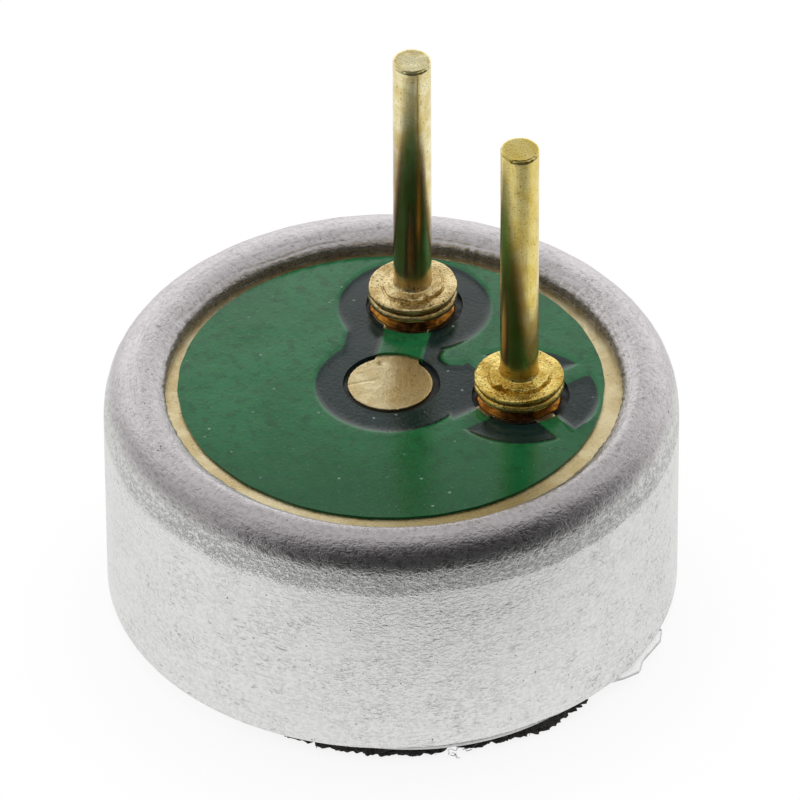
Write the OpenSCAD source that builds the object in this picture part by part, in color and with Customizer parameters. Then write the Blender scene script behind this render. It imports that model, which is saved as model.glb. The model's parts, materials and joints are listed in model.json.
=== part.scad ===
// Electret microphone capsule with two pins. All lengths are in millimetres.
// The origin is at the foot of the capsule's axis, on the plane of the felt's
// face. +Z runs from the sound inlet to the pins, and the pin row lies along X.

/* [Case] */
// Outside diameter of the case
case_d = 6; // [5.7:0.1:7.5]
// Height of the case from its front face to the top of the folded rim
case_h = 2.65; // [2.4:0.05:3.6]
// Thickness of the side wall
wall_t = 0.2; // [0.14:0.02:0.24]
// Thickness of the front face
front_t = 0.2; // [0.12:0.02:0.3]
// Thickness of the lip that is folded over the board
lip_t = 0.21; // [0.16:0.01:0.26]
// Width of the rim from the outside of the wall to the edge of the lip
rim_w = 0.61; // [0.52:0.01:0.75]
// Radius of the fold at the top of the wall
rim_r = 0.42; // [0.32:0.02:0.46]
// Radius inside the fold, over the edge of the board
fold_r = 0.06; // [0.04:0.01:0.1]
// Drop of the lip's edge below the top of the rim
lip_drop = 0.11; // [0.02:0.01:0.12]
// Radius of the edge round the front face
edge_r = 0.08; // [0.02:0.01:0.15]
// Diameter of the sound inlet in the front face
inlet_d = 1.2; // [0.6:0.1:2]

/* [Dust cover] */
// Diameter of the dust felt
felt_d = 4.6; // [3.6:0.1:4.8]
// Thickness of the dust felt
felt_t = 0.12; // [0.08:0.01:0.4]
// Distance along X by which the felt is stuck off the axis
felt_x = 0.62; // [-0.6:0.02:0.7]
// Distance along Y by which the felt is stuck off the axis
felt_y = -0.22; // [-0.6:0.02:0.6]
// Thickness of the clear adhesive film between felt and case
film_t = 0.03; // [0.02:0.01:0.08]
// Width of the adhesive ring
film_w = 0.9; // [0.6:0.1:1.3]
// Distance by which the film's tab reaches past the wall of the case
tab_reach = 0.09; // [0.02:0.01:0.2]
// Radius of the tab's round end
tab_r = 0.8; // [0.5:0.1:1]
// Direction of the tab, in degrees from X
tab_angle = 27; // [0:1:60]

/* [Sound cell] */
// Radial clearance between the bore of the case and the rings in it
ring_gap = 0.05; // [0.02:0.01:0.1]
// Width of the ring that carries the diaphragm
ring_w = 0.5; // [0.4:0.05:0.7]
// Thickness of the ring that carries the diaphragm
ring_t = 0.25; // [0.15:0.05:0.4]
// Thickness of the diaphragm
diaphragm_t = 0.02; // [0.01:0.005:0.04]
// Thickness of the spacer, which is the air gap
spacer_t = 0.04; // [0.02:0.01:0.08]
// Thickness of the charged film on the back plate
electret_t = 0.03; // [0.02:0.01:0.06]
// Thickness of the back plate
plate_t = 0.25; // [0.15:0.05:0.4]
// Number of vents in the back plate
vent_n = 6; // [4:1:8]
// Diameter of a vent
vent_d = 0.5; // [0.3:0.05:0.7]
// Diameter of the circle on which the vents lie
vent_pcd = 2.4; // [2:0.1:3.2]
// Wall thickness of the insulating chamber
chamber_w = 0.25; // [0.2:0.05:0.3]
// Chamfer on the ends of the insulating chamber
chamber_chamfer = 0.06; // [0.02:0.01:0.08]
// Radial clearance between the chamber and what stands in it
cell_gap = 0.05; // [0.02:0.01:0.1]
// Wall thickness of the gate ring
gate_w = 0.15; // [0.1:0.05:0.2]
// Width of the gate ring's foot on the back plate
gate_foot_w = 0.35; // [0.25:0.05:0.4]

/* [Board] */
// Thickness of the board's core
core_t = 0.4; // [0.3:0.05:0.6]
// Thickness of the copper
copper_t = 0.035; // [0.02:0.005:0.05]
// Thickness of the solder mask
mask_t = 0.025; // [0.015:0.005:0.04]
// Clearance between the edge of the board and the fold of the rim
board_gap = 0.02; // [0.01:0.01:0.05]
// Bare margin between the edge of the board and its copper
copper_margin = 0.03; // [0.01:0.01:0.06]
// Width of the bare copper ring between the lip and the solder mask
bare_ring_w = 0.17; // [0.1:0.01:0.22]

/* [Pads and tracks] */
// Distance between the two pins
pin_pitch = 1.9; // [1.85:0.05:2]
// Distance from the centre pad to the pin row
pin_row = 0.97; // [0.9:0.01:1.04]
// Distance along X by which the printed pattern lies off the axis
pattern_x = -0.06; // [-0.1:0.01:0.1]
// Distance along Y by which the printed pattern lies off the axis
pattern_y = 0.03; // [-0.1:0.01:0.1]
// Diameter of the round pads
pad_d = 0.89; // [0.8:0.01:0.95]
// Bare ring of board between a pad and the solder mask
mask_gap = 0.065; // [0.04:0.005:0.09]
// Width of the gap etched round a pad
etch_gap = 0.36; // [0.3:0.01:0.38]
// Width of the track from the output pad to the centre pad
track_w = 0.47; // [0.3:0.01:0.6]
// Distance from the middle of that track to the ground copper beside it
track_clear = 0.62; // [0.56:0.01:0.7]
// Width of the four spokes of the ground pad
spoke_w = 0.21; // [0.15:0.01:0.3]
// Diameter of the tip of the ground copper between the pins
tongue_d = 0.28; // [0.2:0.02:0.3]
// Outside diameter of a plated via at the board's inner face
via_d = 0.3; // [0.26:0.02:0.4]
// Narrowing of a via's radius toward the board's outer face
via_taper = 0.03; // [0.01:0.01:0.04]
// Thickness of a via's plated wall
via_wall = 0.05; // [0.03:0.01:0.06]

/* [Pins] */
// Diameter of a pin
pin_d = 0.4; // [0.3:0.02:0.5]
// Height of a pin's tip above its pad
pin_h = 3.19; // [1.5:0.01:6]
// Radius of the edge at the tip
tip_r = 0.03; // [0.01:0.01:0.08]
// Diameter of the flanges
flange_d = 0.94; // [0.8:0.02:1]
// Thickness of the lower flange
lower_flange_t = 0.09; // [0.06:0.01:0.15]
// Thickness of the upper flange
upper_flange_t = 0.06; // [0.04:0.01:0.1]
// Height of the groove between the flanges
groove_h = 0.015; // [0.01:0.005:0.03]
// Depth of the groove between the flanges
groove_depth = 0.07; // [0.05:0.01:0.1]
// Diameter of the raised collar round the pin, at its foot
collar_d = 0.64; // [0.54:0.02:0.7]
// Height of the collar's sloped edge
collar_edge = 0.03; // [0.01:0.01:0.04]
// Height to which the collar rises at the pin
collar_h = 0.06; // [0.05:0.01:0.1]
// Height of the solder between pad and flange
joint_h = 0.1; // [0.05:0.01:0.15]
// Depth of the waist in that solder
joint_waist = 0.04; // [0.01:0.01:0.08]

/* [Transistor] */
// Length of the transistor's body
jfet_l = 1.6; // [1.4:0.1:1.8]
// Width of the transistor's body
jfet_w = 0.8; // [0.7:0.05:0.9]
// Height of the transistor's body
jfet_h = 0.55; // [0.4:0.05:0.65]
// Slope of the body's sides, as a setback at top and bottom
jfet_draft = 0.05; // [0.02:0.01:0.08]
// Distance of the transistor from the centre pad along Y
jfet_y = -0.75; // [-0.85:0.05:-0.65]
// Height of the body's underside above the feet of its leads
jfet_standoff = 0.03; // [0.01:0.01:0.06]
// Width of a lead
lead_w = 0.22; // [0.15:0.01:0.3]
// Thickness of a lead
lead_t = 0.1; // [0.06:0.01:0.14]
// Distance over the toes of opposite leads
lead_span = 1.6; // [1.5:0.05:1.8]
// Length of a lead's foot
lead_foot = 0.22; // [0.15:0.01:0.26]
// Distance between the two leads on one side
lead_pitch = 1; // [0.9:0.05:1.1]

/* [Capacitors] */
// Length of a chip capacitor
cap_l = 1; // [0.9:0.05:1.1]
// Width of a chip capacitor
cap_w = 0.5; // [0.4:0.05:0.55]
// Height of a chip capacitor
cap_h = 0.5; // [0.3:0.05:0.6]
// Length of a terminal
cap_end = 0.24; // [0.15:0.01:0.3]
// Thickness of a terminal's metal
cap_skin = 0.02; // [0.01:0.005:0.04]
// Distance of the first capacitor from the centre pad along Y
cap_y = 0.45; // [0.4:0.05:0.55]
// Distance between the capacitors
cap_pitch = 0.7; // [0.65:0.05:0.75]
// Width of the copper bus under the capacitors' terminals
bus_w = 0.5; // [0.4:0.05:0.6]
// Thickness of the solder under leads and terminals
solder_t = 0.03; // [0.02:0.01:0.05]
// Reach of a solder fillet in front of a lead or terminal
fillet_reach = 0.12; // [0.06:0.01:0.14]
// Height of a solder fillet above the solder's own thickness
fillet_h = 0.08; // [0.04:0.01:0.1]

/* [Hidden] */
$fn = 96;

// Overshoot of a cutting shape past the face that it opens
over = 0.1;

// Radii, from the outside in
case_r = case_d / 2;
bore_r = case_r - wall_t;
lip_in_r = case_r - rim_w;
fold_in_r = case_r - rim_r;
ring_r = bore_r - ring_gap;
ring_in_r = ring_r - ring_w;
chamber_in_r = ring_r - chamber_w;
plate_r = chamber_in_r - cell_gap;
gate_in_r = plate_r - gate_w;
board_r = bore_r - fold_r - board_gap;
copper_r = board_r - copper_margin;
mask_r = lip_in_r - bare_ring_w;
pad_r = pad_d / 2;
open_r = pad_r + mask_gap;
etch_r = pad_r + etch_gap;
via_r = via_d / 2;

// Heights of the sound cell, from the felt up
film_z = felt_t;
face_z = film_z + film_t;
ring_z = face_z + front_t;
diaphragm_z = ring_z + ring_t;
spacer_z = diaphragm_z + diaphragm_t;
electret_z = spacer_z + spacer_t;
plate_z = electret_z + electret_t;
gate_z = plate_z + plate_t;

// Heights of the board, from the folded lip down
copper_top = face_z + case_h - lip_t;
core_top = copper_top - copper_t;
core_z = core_top - core_t;
inner_copper_z = core_z - copper_t;

// Places on the board, measured from the centre pad
output_at = [-pin_pitch / 2, pin_row];
ground_at = [pin_pitch / 2, pin_row];
track_l = norm(output_at);
track_angle = atan2(output_at.y, output_at.x);

// Places on the board's inner face, where heights run down from the copper
foot_z = copper_t + solder_t;
jfet_z = foot_z + jfet_standoff;
lead_exit_z = jfet_z + (jfet_h - lead_t) / 2;
lead_toe = lead_span / 2;
lead_heel = lead_toe - lead_foot;
cap_rows = [cap_y, cap_y + cap_pitch];

// Corner of a square that lies outside a circle in it
module corner_cut(r) {
    difference() {
        square(r + over);
        circle(r);
    }
}

module ring_2d(outer, inner) {
    difference() {
        circle(outer);
        circle(inner);
    }
}

// Moves to the centre pad on the plane z
module on_pattern(z) {
    translate([pattern_x, pattern_y, z]) children();
}

// Turns a shape upside down under the board's core
module under_board() {
    on_pattern(core_z) mirror([0, 0, 1]) children();
}

// Half section of the drawn case, with its front face at height 0
module case_section() {
    lip_z = case_h - lip_t;
    lip_w = fold_in_r - lip_in_r;
    // Shoulder that is level at the top of the fold and ends at the edge of the lip
    shoulder_r = (lip_w * lip_w + lip_drop * lip_drop) / (2 * lip_drop);
    difference() {
        square([case_r, case_h]);
        translate([fold_in_r, case_h - rim_r]) corner_cut(rim_r);
        translate([case_r - edge_r, edge_r]) mirror([0, 1]) corner_cut(edge_r);
        difference() {
            translate([0, front_t]) square([bore_r, lip_z - front_t]);
            translate([bore_r - fold_r, lip_z - fold_r]) corner_cut(fold_r);
        }
        translate([0, lip_z - over]) square([lip_in_r, lip_t + 2 * over]);
        difference() {
            translate([lip_in_r - over, case_h - lip_drop]) square([lip_w + over, lip_drop + over]);
            translate([fold_in_r, case_h - shoulder_r]) circle(shoulder_r);
        }
        translate([0, -over]) square([inlet_d / 2, front_t + 2 * over]);
    }
}

module case() {
    color("silver") translate([0, 0, face_z]) rotate_extrude() case_section();
}

module dust_felt() {
    color("black") translate([felt_x, felt_y, 0]) cylinder(d = felt_d, h = felt_t);
}

// Ring of clear film with one round tab that reaches past the wall
module felt_adhesive() {
    felt_r = felt_d / 2;
    color("gainsboro", 0.4) translate([0, 0, film_z]) linear_extrude(film_t) difference() {
        union() {
            translate([felt_x, felt_y]) circle(felt_r);
            rotate(tab_angle) translate([case_r + tab_reach - tab_r, 0]) circle(tab_r);
        }
        translate([felt_x, felt_y]) circle(felt_r - film_w);
    }
}

module diaphragm_ring() {
    color("goldenrod") translate([0, 0, ring_z]) linear_extrude(ring_t) ring_2d(ring_r, ring_in_r);
}

module diaphragm() {
    color("lightgray") translate([0, 0, diaphragm_z]) cylinder(r = ring_r, h = diaphragm_t);
}

module spacer_ring() {
    color("wheat") translate([0, 0, spacer_z]) linear_extrude(spacer_t) ring_2d(ring_r, ring_in_r);
}

// Outline that the back plate and its film share, with vents for the air behind the gap
module vented_disc() {
    difference() {
        circle(plate_r);
        for (i = [0 : vent_n - 1]) {
            rotate(i * 360 / vent_n) translate([vent_pcd / 2, 0]) circle(d = vent_d);
        }
    }
}

module electret_film() {
    color("whitesmoke") translate([0, 0, electret_z]) linear_extrude(electret_t) vented_disc();
}

module back_plate() {
    color("goldenrod") translate([0, 0, plate_z]) linear_extrude(plate_t) vented_disc();
}

// Plastic ring that stands on the spacer and carries the board
module insulating_chamber() {
    top = core_z - electret_z;
    color("ivory") translate([0, 0, electret_z]) rotate_extrude() polygon([
        [chamber_in_r, 0],
        [ring_r - chamber_chamfer, 0],
        [ring_r, chamber_chamfer],
        [ring_r, top - chamber_chamfer],
        [ring_r - chamber_chamfer, top],
        [chamber_in_r, top]
    ]);
}

// Ring with an inward foot that takes the back plate's signal up to the board
module gate_ring() {
    top = inner_copper_z - gate_z;
    color("goldenrod") translate([0, 0, gate_z]) rotate_extrude() polygon([
        [plate_r - gate_foot_w, 0],
        [plate_r, 0],
        [plate_r, top],
        [gate_in_r, top],
        [gate_in_r, gate_w],
        [plate_r - gate_foot_w, gate_w]
    ]);
}

// Cone of a laser-drilled hole through the core, made longer by extra at both ends
module drilled(r, extra) {
    slope = via_taper / core_t;
    translate([0, 0, -extra])
        cylinder(r1 = r + slope * extra, r2 = r - via_taper - slope * extra, h = core_t + 2 * extra);
}

module board_core() {
    color("darkolivegreen") difference() {
        translate([0, 0, core_z]) cylinder(r = board_r, h = core_t);
        for (at = [output_at, ground_at]) {
            on_pattern(core_z) translate(at) drilled(via_r, over);
        }
    }
}

// Spokes that tie the ground pad to the copper round it
module spokes_2d(grow) {
    for (turn = [0, 90]) {
        rotate(turn) square([2 * etch_r + over, spoke_w + 2 * grow], center = true);
    }
}

// Area without ground copper, with its edges drawn in by grow
module etched_2d(grow) {
    difference() {
        union() {
            circle(etch_r - grow);
            translate(output_at) circle(etch_r - grow);
            rotate(track_angle) square([track_l, track_clear - grow]);
            translate(ground_at) difference() {
                circle(etch_r - grow);
                spokes_2d(grow);
            }
        }
        translate([0, etch_r]) circle(d = tongue_d + 2 * grow);
        translate(ground_at) circle(pad_r);
    }
}

// Output pad, centre pad and track, with their edges moved out by grow
module output_2d(grow) {
    circle(pad_r);
    translate(output_at) circle(pad_r);
    rotate(track_angle) translate([0, -track_w / 2 - grow]) square([track_l, track_w + 2 * grow]);
}

module pad_openings_2d() {
    for (at = [[0, 0], output_at, ground_at]) {
        translate(at) circle(open_r);
    }
}

module outer_ground_copper() {
    color("darkkhaki") difference() {
        translate([0, 0, core_top]) cylinder(r = copper_r, h = copper_t);
        on_pattern(core_top - over) linear_extrude(copper_t + 2 * over) etched_2d(0);
    }
}

module outer_output_copper() {
    color("darkkhaki") on_pattern(core_top) linear_extrude(copper_t) output_2d(0);
}

// Lacquer that covers the copper, runs down its edges and lines the etched gap
module solder_mask() {
    color("seagreen") difference() {
        translate([0, 0, core_top]) cylinder(r = mask_r, h = copper_t + mask_t);
        difference() {
            translate([0, 0, core_top - over]) cylinder(r = copper_r, h = copper_t + over);
            on_pattern(core_top - 2 * over) linear_extrude(copper_t + 3 * over) etched_2d(0);
        }
        on_pattern(core_top - over) linear_extrude(copper_t + over) output_2d(0);
        on_pattern(core_top + mask_t) linear_extrude(copper_t + over) difference() {
            etched_2d(mask_t);
            output_2d(mask_t);
        }
        on_pattern(core_top - over) linear_extrude(copper_t + mask_t + 2 * over) pad_openings_2d();
    }
}

module via(at) {
    color("darkkhaki") on_pattern(core_z) translate(at) difference() {
        drilled(via_r, 0);
        drilled(via_r - via_wall, over);
    }
}

module output_via() {
    via(output_at);
}

module ground_via() {
    via(ground_at);
}

// Copper net on the inner face: side is -1 for the output and 1 for ground
module inner_net(side) {
    bus_y = jfet_y + lead_heel - fillet_reach;
    bus_x = side * cap_l / 2;
    bus_end = cap_rows[1] + cap_w / 2;
    color("darkkhaki") under_board() linear_extrude(copper_t) {
        translate([side * pin_pitch / 2, pin_row]) circle(pad_r);
        translate([bus_x - bus_w / 2, bus_y]) square([bus_w, bus_end - bus_y]);
    }
}

module inner_output_copper() {
    inner_net(-1);
}

module inner_ground_copper() {
    inner_net(1);
}

// Ring under the gate ring, with a track to the transistor's gate
module inner_gate_copper() {
    track_end = jfet_y - lead_heel + fillet_reach;
    color("darkkhaki") translate([0, 0, inner_copper_z]) linear_extrude(copper_t) {
        ring_2d(plate_r, gate_in_r);
        translate([pattern_x - bus_w / 2, -gate_in_r]) square([bus_w, gate_in_r + pattern_y + track_end]);
    }
}

// Moulded body with drafted sides and a straight band where the leads come out
module jfet_body() {
    half = jfet_w / 2;
    band_top = lead_exit_z + lead_t;
    color("dimgray") under_board() translate([-jfet_l / 2, jfet_y, 0]) rotate([90, 0, 90]) linear_extrude(jfet_l)
        polygon([
            [-half + jfet_draft, jfet_z],
            [half - jfet_draft, jfet_z],
            [half, lead_exit_z],
            [half, band_top],
            [half - jfet_draft, jfet_z + jfet_h],
            [-half + jfet_draft, jfet_z + jfet_h],
            [-half, band_top],
            [-half, lead_exit_z]
        ]);
}

// Gull-wing lead at x, on the body's +Y side, or its -Y side with side -1
module jfet_lead(x, side) {
    half = jfet_w / 2;
    knee = (half + lead_heel) / 2;
    color("silver") under_board() translate([x, jfet_y, 0]) scale_side(side) {
        translate([-lead_w / 2, 0, 0]) rotate([90, 0, 90]) linear_extrude(lead_w) polygon([
            [half, lead_exit_z],
            [knee, lead_exit_z],
            [lead_heel, foot_z],
            [lead_toe, foot_z],
            [lead_toe, foot_z + lead_t],
            [lead_heel + lead_t, foot_z + lead_t],
            [knee + lead_t, lead_exit_z + lead_t],
            [half, lead_exit_z + lead_t]
        ]);
    }
}

// Keeps +Y for side 1, and turns it to -Y for side -1
module scale_side(side) {
    rotate(side > 0 ? 0 : 180) children();
}

module jfet_drain_lead() {
    jfet_lead(-lead_pitch / 2, 1);
}

module jfet_source_lead() {
    jfet_lead(lead_pitch / 2, 1);
}

module jfet_gate_lead() {
    jfet_lead(0, -1);
}

// Solder from heel to toe along X, with a fillet that climbs the toe's face
module solder_joint(heel, toe, width) {
    translate([0, width / 2, copper_t]) rotate([90, 0, 0]) linear_extrude(width) polygon([
        [heel, 0],
        [toe + fillet_reach, 0],
        [toe, solder_t + fillet_h],
        [toe, solder_t],
        [heel, solder_t]
    ]);
}

module jfet_solder() {
    color("lightsteelblue") under_board() translate([0, jfet_y, 0]) {
        for (x = [-lead_pitch / 2, lead_pitch / 2]) {
            translate([x, 0, 0]) rotate(90) solder_joint(lead_heel, lead_toe, lead_w);
        }
        rotate(-90) solder_joint(lead_heel, lead_toe, lead_w);
    }
}

// Ceramic block of one capacitor, inside the metal of its terminals
module cap_block(row) {
    translate([-cap_l / 2 + cap_skin, cap_rows[row] - cap_w / 2 + cap_skin, foot_z + cap_skin])
        cube([cap_l - 2 * cap_skin, cap_w - 2 * cap_skin, cap_h - 2 * cap_skin]);
}

module cap_terminals(row) {
    color("silver") under_board() difference() {
        for (x = [-cap_l / 2, cap_l / 2 - cap_end]) {
            translate([x, cap_rows[row] - cap_w / 2, foot_z]) cube([cap_end, cap_w, cap_h]);
        }
        cap_block(row);
    }
}

module capacitor_1_body() {
    color("burlywood") under_board() cap_block(0);
}

module capacitor_1_terminals() {
    cap_terminals(0);
}

module capacitor_2_body() {
    color("burlywood") under_board() cap_block(1);
}

module capacitor_2_terminals() {
    cap_terminals(1);
}

module capacitor_solder() {
    color("lightsteelblue") under_board() for (y = cap_rows) {
        for (turn = [0, 180]) {
            translate([0, y, 0]) rotate(turn) solder_joint(cap_l / 2 - cap_end, cap_l / 2, cap_w - 2 * cap_skin);
        }
    }
}

// Half section of a disc with a round edge
module round_disc_section(r, t) {
    square([r - t / 2, t]);
    translate([r - t / 2, t / 2]) circle(d = t);
}

// Half section of a pin, with its pad at height 0
module pin_section() {
    flange_r = flange_d / 2;
    upper_z = joint_h + lower_flange_t + groove_h;
    collar_z = upper_z + upper_flange_t;
    translate([0, joint_h]) round_disc_section(flange_r, lower_flange_t);
    translate([0, upper_z]) round_disc_section(flange_r, upper_flange_t);
    translate([0, joint_h]) square([flange_r - groove_depth, collar_z - joint_h]);
    translate([0, collar_z]) polygon([
        [0, 0],
        [collar_d / 2, 0],
        [collar_d / 2 - collar_edge, collar_edge],
        [pin_d / 2, collar_h],
        [0, collar_h]
    ]);
    difference() {
        translate([0, joint_h]) square([pin_d / 2, pin_h - joint_h]);
        translate([pin_d / 2 - tip_r, pin_h - tip_r]) corner_cut(tip_r);
    }
}

module pin(at) {
    color("goldenrod") on_pattern(copper_top) translate(at) rotate_extrude() pin_section();
}

module output_pin() {
    pin(output_at);
}

module ground_pin() {
    pin(ground_at);
}

// Waisted ring of solder that fills the space between a pad and a pin's flange
module pin_solder(at) {
    foot_r = min(pad_r, (flange_d - lower_flange_t) / 2);
    color("peru") on_pattern(copper_top) translate(at) rotate_extrude() polygon([
        [0, 0],
        [foot_r, 0],
        [foot_r - joint_waist, joint_h / 2],
        [foot_r, joint_h],
        [0, joint_h]
    ]);
}

module output_pin_solder() {
    pin_solder(output_at);
}

module ground_pin_solder() {
    pin_solder(ground_at);
}

case();
dust_felt();
felt_adhesive();
diaphragm_ring();
diaphragm();
spacer_ring();
electret_film();
back_plate();
insulating_chamber();
gate_ring();
board_core();
outer_ground_copper();
outer_output_copper();
solder_mask();
output_via();
ground_via();
inner_output_copper();
inner_ground_copper();
inner_gate_copper();
jfet_body();
jfet_drain_lead();
jfet_source_lead();
jfet_gate_lead();
jfet_solder();
capacitor_1_body();
capacitor_1_terminals();
capacitor_2_body();
capacitor_2_terminals();
capacitor_solder();
output_pin();
ground_pin();
output_pin_solder();
ground_pin_solder();
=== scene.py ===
import json
import math

import bpy
import numpy as np
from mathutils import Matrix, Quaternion, Vector, noise
from mathutils.geometry import delaunay_2d_cdt


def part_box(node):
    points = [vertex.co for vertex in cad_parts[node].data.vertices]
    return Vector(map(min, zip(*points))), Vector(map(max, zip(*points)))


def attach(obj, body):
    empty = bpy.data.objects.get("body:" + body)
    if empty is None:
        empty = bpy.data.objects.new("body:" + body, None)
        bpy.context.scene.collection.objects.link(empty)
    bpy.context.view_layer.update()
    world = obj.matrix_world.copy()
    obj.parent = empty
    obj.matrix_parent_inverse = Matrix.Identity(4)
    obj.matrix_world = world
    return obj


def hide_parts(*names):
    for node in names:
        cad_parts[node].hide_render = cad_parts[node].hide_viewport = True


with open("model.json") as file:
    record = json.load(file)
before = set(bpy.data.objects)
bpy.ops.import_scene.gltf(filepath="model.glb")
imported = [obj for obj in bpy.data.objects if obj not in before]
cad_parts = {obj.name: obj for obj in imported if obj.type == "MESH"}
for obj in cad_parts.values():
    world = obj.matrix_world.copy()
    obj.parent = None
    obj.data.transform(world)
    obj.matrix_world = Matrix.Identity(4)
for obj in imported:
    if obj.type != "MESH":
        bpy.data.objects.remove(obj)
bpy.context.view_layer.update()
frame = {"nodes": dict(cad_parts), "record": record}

MM = 0.001


# Sizes in millimetres. What the frame holds is read from it.

def corners(node):
    low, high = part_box(node)
    return np.array(low) / MM, np.array(high) / MM


def mount_point(name):
    mount = next(m for m in frame["record"]["mounts"] if m["name"] == name)
    return np.array(mount["pos_m"]) / MM


case_low, case_high = corners("case")
CASE_R = case_high[0]
FACE_Z = case_low[2]
RIM_Z = case_high[2]
COPPER_Z = corners("outer_ground_copper")[1][2]
COPPER_R = corners("outer_ground_copper")[1][0]
CORE_Z = corners("solder_mask")[0][2]
LACQUER_Z = corners("solder_mask")[1][2]
LACQUER_R = corners("solder_mask")[1][0]
FELT_Z = corners("dust_felt")[1][2]
FILM_Z = corners("felt_adhesive")[1][2]
TIP_Z = corners("output_pin")[1][2]
FLANGE_Z = corners("output_pin")[0][2]
OUTPUT = mount_point("output_pin")[:2]
GROUND = mount_point("ground_pin")[:2]
FELT_AT = mount_point("front_face")[:2]
PIN_R = frame["record"]["mounts"][0]["dims"]["r_mm"]

# Case: bore, inlet, folded rim and the edge of its lip
WALL_T = 0.2
FRONT_T = 0.2
INLET_R = 0.6
EDGE_R = 0.08
RIM_R = 0.42
RIM_W = 0.61
LIP_T = 0.21
LIP_DROP = 0.11
SHOULDER_R = ((RIM_W - RIM_R) ** 2 + LIP_DROP ** 2) / (2 * LIP_DROP)
FOLD_R = 0.06
LIP_EDGE = 0.02
CRIMP_Z = FACE_Z + 2.06
FOLD_IN = CASE_R - RIM_R
LIP_IN = CASE_R - RIM_W
LIP_FOOT = RIM_Z - LIP_T

# Marks on the case. A crease is given by its gap from the lip's edge, its depth and its seed.
WAVE = 0.003
DENT, DENT_SIZE = 0.004, 0.25
TEAR, TEAR_SIZE = 0.006, 0.05
CREASES = ((0.055, 0.006, 31), (0.11, 0.004, 32))
CREASE_W, CREASE_SWAY = 0.010, 0.014
LIP_TRIM, LIP_SWAY, LIP_NICK = -0.015, 0.004, 0.006
BORDER_SWAY = 0.018
TOOL_PRESS = 0.014
LIP_PRESS, LIP_REACH = 0.05, 0.16

# Felt and film
FELT_R = 2.3
FELT_SWAY, FELT_NICK = 0.014, 0.022
FUZZ, FUZZ_SIZE, NAP_SIZE = 0.05, 0.05, 0.16
FIBRES, TORN_FIBRES = 110, 9
FIBRE_LOW = 0.009
FILM_W = 0.9
FILM_TAB = ((2.05, 0.75), (2.84, 0.79), (2.87, 0.94), (2.875, 1.12),
            (2.75, 1.25), (2.59, 1.60), (2.45, 1.72), (2.0, 1.5))

# Crumbs of felt by place, half length and radius
CRUMBS = ((2.868, 0.632, 0.030, 0.016), (2.848, 0.735, 0.026, 0.013))

# Printed pattern: pads, etched gaps, track and spokes
PIN_ROW = 0.97
PAD_R = 0.445
OPEN_R = 0.51
ETCH_R = 0.805
TRACK_W = 0.47
TRACK_CLEAR = 0.62
SPOKE_W = 0.21
TONGUE_R = 0.14
CENTRE = (OUTPUT + GROUND) / 2 - (0, PIN_ROW)
TRACK = OUTPUT - CENTRE
TRACK_ANGLE = math.atan2(TRACK[1], TRACK[0])
TRACK_L = math.hypot(*TRACK)

# Lacquer: fill of the gaps, steps, wavy edges and one blister
FILLED = 0.65
STEP_OUT, STEP_W = 0.055, 0.09
LACQUER_SWAY = 0.004
BLISTER_AT = GROUND + (0.80, 0.16)
BLISTER_R, BLISTER_H, BLISTER_W = 0.13, 0.03, 0.02

# Marks on the centre pad
SCRATCH, SCRATCH_W, SCRATCH_L = 0.006, 0.010, 0.29
PIT, PIT_R = 0.012, 0.028

# Pins: flanges, groove and flared collar
FLANGE_R = 0.47
LOWER_T = 0.09
UPPER_T = 0.06
GROOVE_H = 0.015
GROOVE_R = 0.40
COLLAR_R = 0.32
COLLAR_EDGE = 0.03
COLLAR_H = 0.06
TIP_R = 0.03

# Marks on the pins
PIN_COARSE, PIN_FINE = 0.14, 0.05
FLANGE_WAVE, FLANGE_BEND = 0.007, 0.006
TOP_WAVE = 0.004
COLLAR_SWAY, COLLAR_TEAR = 0.016, 0.010
GROOVE_DEEP, GROOVE_TORN = 0.004, 0.026
LIFTED = 0.012
SHAFT_WAVE = 0.0020
BURR, BURR_FOOT, BURR_W = 0.008, 0.014, 0.012

# Solder joints
NECK_R = 0.40
WAIST = 0.02
SOLDER_WAVE, SOLDER_RIPPLE = 0.010, 0.005

# View of the photograph
AZIMUTH = math.radians(54.7)
ELEVATION = math.radians(38.11)
ROLL = math.radians(0.3)
DISTANCE, LENS, SENSOR = 120, 516.3, 36
AIM_Z, AIM_RIGHT, AIM_UP = 1.55, 0.092, 0.685
FRONT = np.array((math.sin(AZIMUTH), -math.cos(AZIMUTH)))
RIGHT = np.array((math.cos(AZIMUTH), math.sin(AZIMUTH)))
FRONT_TURN = math.atan2(FRONT[1], FRONT[0])

# Direction in which the surroundings are darkest, a little right of the camera
DIM_TURN = 0.33
DIM = math.cos(DIM_TURN) * FRONT + math.sin(DIM_TURN) * RIGHT

# The lip's opening and the etched gaps lie a little off their places, toward the front
LIP_ASIDE = 0.075 * FRONT + 0.03 * RIGHT
ETCH_ASIDE = 0.05 * FRONT + 0.02 * RIGHT
OPEN_ASIDE = 0.02 * FRONT + 0.015 * RIGHT

# The felt's cut by degrees from the front, and the angle, width and depth of a torn spot on its edge
FELT_CUT = ((-180, 0.0), (-110, 0.0), (-60, 0.04), (-32, 0.045), (-24, 0.045), (-1, -0.015), (22, -0.03),
            (33, 0.042), (41, 0.048), (50, 0.012), (57, -0.015), (70, -0.02), (90, 0.0), (180, 0.0))
TORN_AT, TORN_W, TORN_DEEP = 0.206, 0.05, 0.06


def seen(right, away):
    """Place on the board, from the centre pad, as seen from the front."""
    return CENTRE + right * RIGHT - away * FRONT


# Noise and simple curves

def smooth(value):
    value = np.clip(value, 0, 1)
    return value * value * (3 - 2 * value)


def hump(value, width):
    """Bell curve of height 1 round 0."""
    return np.exp(-(value / width) ** 2)


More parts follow.
